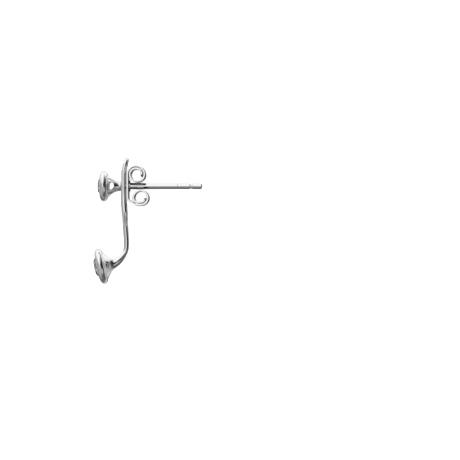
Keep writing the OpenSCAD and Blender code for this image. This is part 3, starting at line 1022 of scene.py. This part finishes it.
class Scroll:
    """Half of the clutch's strip: its middle line from the middle of its plate."""

    STEP = 0.15 * MM
    TURN = 6

    def __init__(self, rows, radius, side):
        clutch, post = sizes().clutch, sizes().post
        heading = side * math.pi / 2
        bends = []
        for reach, degrees in rows:
            turn = math.radians(degrees)
            bends.append((reach * radius * (abs(turn) or 1), turn))
        roll = walk(bends, Vector((0, 0)), heading, self.STEP, self.TURN)
        half = post.d / 2 + clutch.scroll_gap + clutch.strip_t / 2 - min(side * at.y for at, _, _ in roll)
        self.plate_x = sizes().bar.tab_t / 2 + clutch.gap + clutch.strip_t / 2
        self.stops = walk([(half, 0)] + bends, Vector((self.plate_x, 0)), heading, self.STEP, self.TURN)

    def width_share(self, run):
        """How wide the strip is at a stop, as a share of its full width."""
        t = 1 - (self.stops[-1][2] - run) / sizes().clutch.tongue
        return mix(0.8, 1, math.sqrt(1 - t * t)) if t > 0 else 1.0


def clutch_width():
    """The strip is as wide as the stud's rim, so that the earring lies flat."""
    return sizes().stones.stud_d + 2 * sizes().settings.band


def turned_rings(cage, profile, count):
    """A ring of points round the X axis for each radius and place of a profile."""
    turns = [2 * math.pi * i / count for i in range(count)]
    return [cage.row([(x, r * math.cos(a), r * math.sin(a)) for a in turns]) for r, x in profile]


def collar_cage(inner, outer, start, end):
    """A turned ring round the X axis with rounded ends."""
    cage = Cage()
    soft = 0.05 * MM
    rings = turned_rings(cage, [
        (inner, start), (inner, mix(start, end, 0.5)), (inner, end - soft), (inner + soft / 2, end),
        (outer - soft, end), (outer, end - soft), (outer, mix(start, end, 0.4)),
        (outer + soft, start + 1.6 * soft), (outer + 3 * soft, start + 0.2 * soft),
        (outer + 3 * soft, start - soft), (inner, start - soft),
    ], COLLAR_COLUMNS)
    cage.skin(rings + rings[:1])
    return cage


def rod_cage(radius, start, end):
    """A plain rod along the X axis."""
    cage = Cage()
    rings = turned_rings(cage, [(radius, start), (radius, end)], BORE_COLUMNS)
    cage.skin(rings)
    cage.fan(rings[0], (start, 0, 0))
    cage.fan(rings[1], (end, 0, 0))
    return cage


def combine(thing, tool, operation):
    """Unites an object with a tool or cuts it, and drops the tool."""
    layer = thing.modifiers.new("Combine", "BOOLEAN")
    layer.object, layer.operation, layer.solver = tool, operation, "EXACT"
    baked(thing)
    bpy.data.objects.remove(tool)


class EARRING_OT_clutch(bpy.types.Operator):
    """Roll the scroll clutch from one strip"""
    bl_idname = "earring.clutch"
    bl_label = "Roll Clutch"

    def execute(self, context):
        clutch, post = sizes().clutch, sizes().post
        # The clutch's side faces get painted shade as well as its hollows
        paint = silver("clutch_silver", (6.0, 6.0, 1.0), 3.0, rolled=True)
        upper = Scroll(UPPER_BENDS, clutch.upper_r, 1)
        lower = Scroll(LOWER_BENDS, clutch.lower_r, -1)
        line = [(at, upper.width_share(run)) for at, _, run in reversed(upper.stops)]
        line += [(at, lower.width_share(run)) for at, _, run in lower.stops[1:]]
        mesh = bpy.data.meshes.new("clutch_metal")
        edges = [(i, i + 1) for i in range(len(line) - 1)]
        mesh.from_pydata([(at.x, at.y, 0) for at, _ in line], edges, [])
        mesh.attributes.new("width_share", "FLOAT", "POINT").data.foreach_set(
            "value", [width for _, width in line])
        strip = run_tree(mesh_object("clutch_metal", mesh), strip_tree(), {
            "Thickness": clutch.strip_t, "Width": clutch_width(), "Edge": clutch.edge,
            "Weld": WELD, "Material": paint})
        tidy_mesh(strip)
        hole_r = post.d / 2 + clutch.play
        back = upper.plate_x + clutch.strip_t / 2
        end = back + clutch.collar_long - clutch.strip_t / 2
        collar = collar_cage(hole_r - 0.02 * MM, hole_r + clutch.collar_wall, back, end)
        combine(strip, collar.object("collar"), "UNION")
        rod = rod_cage(hole_r, 0, back + 2 * clutch.collar_long)
        combine(strip, rod.object("rod"), "DIFFERENCE")
        tidy_mesh(strip)
        strip.data.transform(Matrix.Translation(post_point()))
        painted(strip, paint)
        shade(strip, sharp=35)
        dress(strip, "clutch_body", "clutch")
        return {"FINISHED"}


# Brightness of the light tent on each of its sides, by the angle from straight above, in degrees
TENT = {
    "right": [(0, 1), (7, 1), (12, 0.03), (70, 0.03), (105, 0.5), (140, 0.6), (160, 0.1), (180, 0.04)],
    "above right": [(0, 1), (8, 1), (13, 0.03), (85, 0.03), (105, 1), (150, 1), (165, 0.5), (180, 0.3)],
    "above": [(0, 1), (130, 1), (150, 0.7), (180, 0.5)],
    "above left": [(0, 1), (125, 1), (145, 0.7), (180, 0.5)],
    "left": [
        (0, 1), (9, 1), (16, 0.45), (60, 0.35), (80, 0.4), (95, 0.2), (125, 0.6), (150, 0.2), (180, 0.3)],
    "below left": [
        (0, 1), (9, 1), (16, 0.5), (100, 0.45), (112, 0.12), (135, 0.15), (150, 0.4), (180, 0.4)],
    "below": [
        (0, 1), (4, 1), (8, 0.27), (36, 0.25), (76, 0.13), (125, 0.15), (150, 0.5), (180, 0.4)],
    "below right": [
        (0, 1), (6, 1), (14, 0.5), (46, 0.6), (60, 0.1), (110, 0.1), (125, 0.6), (150, 0.6), (165, 0.1),
        (180, 0.2)],
}
TENT_R = 0.6


def plain_glow(name, strength):
    """Evenly lit white paper."""
    paint, nodes, shader = material(name)
    nodes.feed(shader, {
        "Base Color": (0.9, 0.9, 0.9, 1), "Roughness": 0.9, "Specular IOR Level": 0.0,
        "Emission Color": (1, 1, 1, 1), "Emission Strength": strength})
    return paint


def tent_cloth(strength):
    """Glowing cloth whose brightness changes round the tent and from its top down."""
    paint, nodes, shader = material("tent")
    nodes.tree.nodes.remove(shader)
    place = nodes.add("ShaderNodeTexCoord")
    toward = nodes.add("ShaderNodeVectorMath", {0: place.outputs["Object"]}, operation="NORMALIZE")
    parts = nodes.add("ShaderNodeSeparateXYZ", {0: toward}).outputs
    level = nodes.add("ShaderNodeCombineXYZ", {"X": parts["X"], "Y": parts["Y"]})
    flat = nodes.add("ShaderNodeVectorMath", {0: level}, operation="NORMALIZE")
    down = nodes.work_out("DIVIDE", nodes.work_out("ARCCOSINE", parts["Z"]), math.pi)
    total = 0.0
    for number, greys in enumerate(TENT.values()):
        ramp = nodes.add("ShaderNodeValToRGB", {"Fac": down})
        stops = ramp.color_ramp.elements
        while len(stops) < len(greys):
            stops.new(0.5)
        for stop, (degrees, grey) in zip(stops, greys):
            stop.position = degrees / 180
            stop.color = (grey, grey, grey, 1)
        turn = 2 * math.pi * number / len(TENT)
        toward_side = (math.cos(turn), math.sin(turn), 0)
        facing = nodes.add("ShaderNodeVectorMath", {0: flat, 1: toward_side}, operation="DOT_PRODUCT")
        # Squared cosine of twice the angle to the side, which fades out halfway to its second neighbour
        near = nodes.work_out("MAXIMUM", facing.outputs["Value"])
        near = nodes.work_out("MULTIPLY", nodes.work_out("MULTIPLY", near, near), 2.0)
        near = nodes.work_out("MAXIMUM", nodes.work_out("SUBTRACT", near, 1.0))
        near = nodes.work_out("MULTIPLY", near, near)
        total = nodes.work_out("ADD", total, nodes.work_out("MULTIPLY", near, ramp))
    glow = nodes.add("ShaderNodeEmission", {"Strength": nodes.work_out("MULTIPLY", total, strength)})
    nodes.feed(nodes.tree.nodes["Material Output"], {"Surface": glow})
    return paint


class EARRING_OT_studio(bpy.types.Operator):
    """Set up the floor, the light and the camera"""
    bl_idname = "earring.studio"
    bl_label = "Set Up Studio"

    def execute(self, context):
        studio, scene = sizes().studio, context.scene
        floor = mesh_object("floor", bpy.data.meshes.new("floor"))
        reach = 1.5
        low = -0.005 * MM
        floor.data.from_pydata(
            [(-reach, -reach, low), (reach, -reach, low), (reach, reach, low), (-reach, reach, low)],
            [], [(0, 1, 2, 3)])
        floor.data.materials.append(plain_glow("paper", 1.0))

        ball = bmesh.new()
        bmesh.ops.create_icosphere(ball, subdivisions=4, radius=TENT_R)
        bmesh.ops.reverse_faces(ball, faces=ball.faces)
        tent = mesh_object("tent", bpy.data.meshes.new("tent"))
        ball.to_mesh(tent.data)
        ball.free()
        tent.data.materials.append(tent_cloth(studio.tent))

        # The camera sees only the paper, and the metal and the stones mirror only the tent
        tent.visible_camera = False
        tent.visible_shadow = False
        floor.visible_glossy = False
        floor.visible_transmission = False

        scene.world = scene.world or bpy.data.worlds.new("World")
        scene.world.use_nodes = True
        sky = scene.world.node_tree.nodes["Background"]
        sky.inputs["Color"].default_value = (1, 1, 1, 1)
        sky.inputs["Strength"].default_value = 1.0
        scene.view_settings.view_transform = "Standard"

        lens = bpy.data.cameras.new("camera")
        lens.lens = studio.lens
        lens.clip_start, lens.clip_end = 0.01, 10
        camera = bpy.data.objects.new("camera", lens)
        camera.location = (studio.camera_x, studio.camera_y, studio.camera_z)
        scene.collection.objects.link(camera)
        scene.camera = camera
        return {"FINISHED"}


class EarringSizes(bpy.types.PropertyGroup):
    """All that a user would change."""
    stones: PointerProperty(type=StoneSizes)
    settings: PointerProperty(type=SettingSizes)
    post: PointerProperty(type=PostSizes)
    bar: PointerProperty(type=BarSizes)
    clutch: PointerProperty(type=ClutchSizes)
    finish: PointerProperty(type=Finish)
    studio: PointerProperty(type=Studio)


class EARRING_PT_panel(bpy.types.Panel):
    """Sizes and steps of the earring"""
    bl_idname = "EARRING_PT_panel"
    bl_label = "Ear Jacket Earring"
    bl_space_type = "VIEW_3D"
    bl_region_type = "UI"
    bl_category = "Earring"

    def draw(self, context):
        for operator in OPERATORS:
            self.layout.operator(operator.bl_idname)
        for name in GROUPS:
            group = getattr(context.scene.earring, name)
            box = self.layout.box()
            box.label(text=name.capitalize())
            for key in group.__annotations__:
                box.prop(group, key)


GROUPS = ("stones", "settings", "post", "bar", "clutch", "finish", "studio")
OPERATORS = (EARRING_OT_studio, EARRING_OT_stones, EARRING_OT_stud, EARRING_OT_jacket, EARRING_OT_clutch)
CLASSES = (
    StoneSizes, SettingSizes, PostSizes, BarSizes, ClutchSizes, Finish, Studio, EarringSizes,
    *OPERATORS, EARRING_PT_panel)


def register():
    for kind in CLASSES:
        bpy.utils.register_class(kind)
    bpy.types.Scene.earring = PointerProperty(type=EarringSizes)


def unregister():
    del bpy.types.Scene.earring
    for kind in reversed(CLASSES):
        bpy.utils.unregister_class(kind)


def main():
    """Builds the whole scene."""
    register()
    bpy.ops.earring.studio()
    bpy.ops.earring.stones()
    bpy.ops.earring.stud()
    bpy.ops.earring.jacket()
    bpy.ops.earring.clutch()


if __name__ == "__main__":
    main()
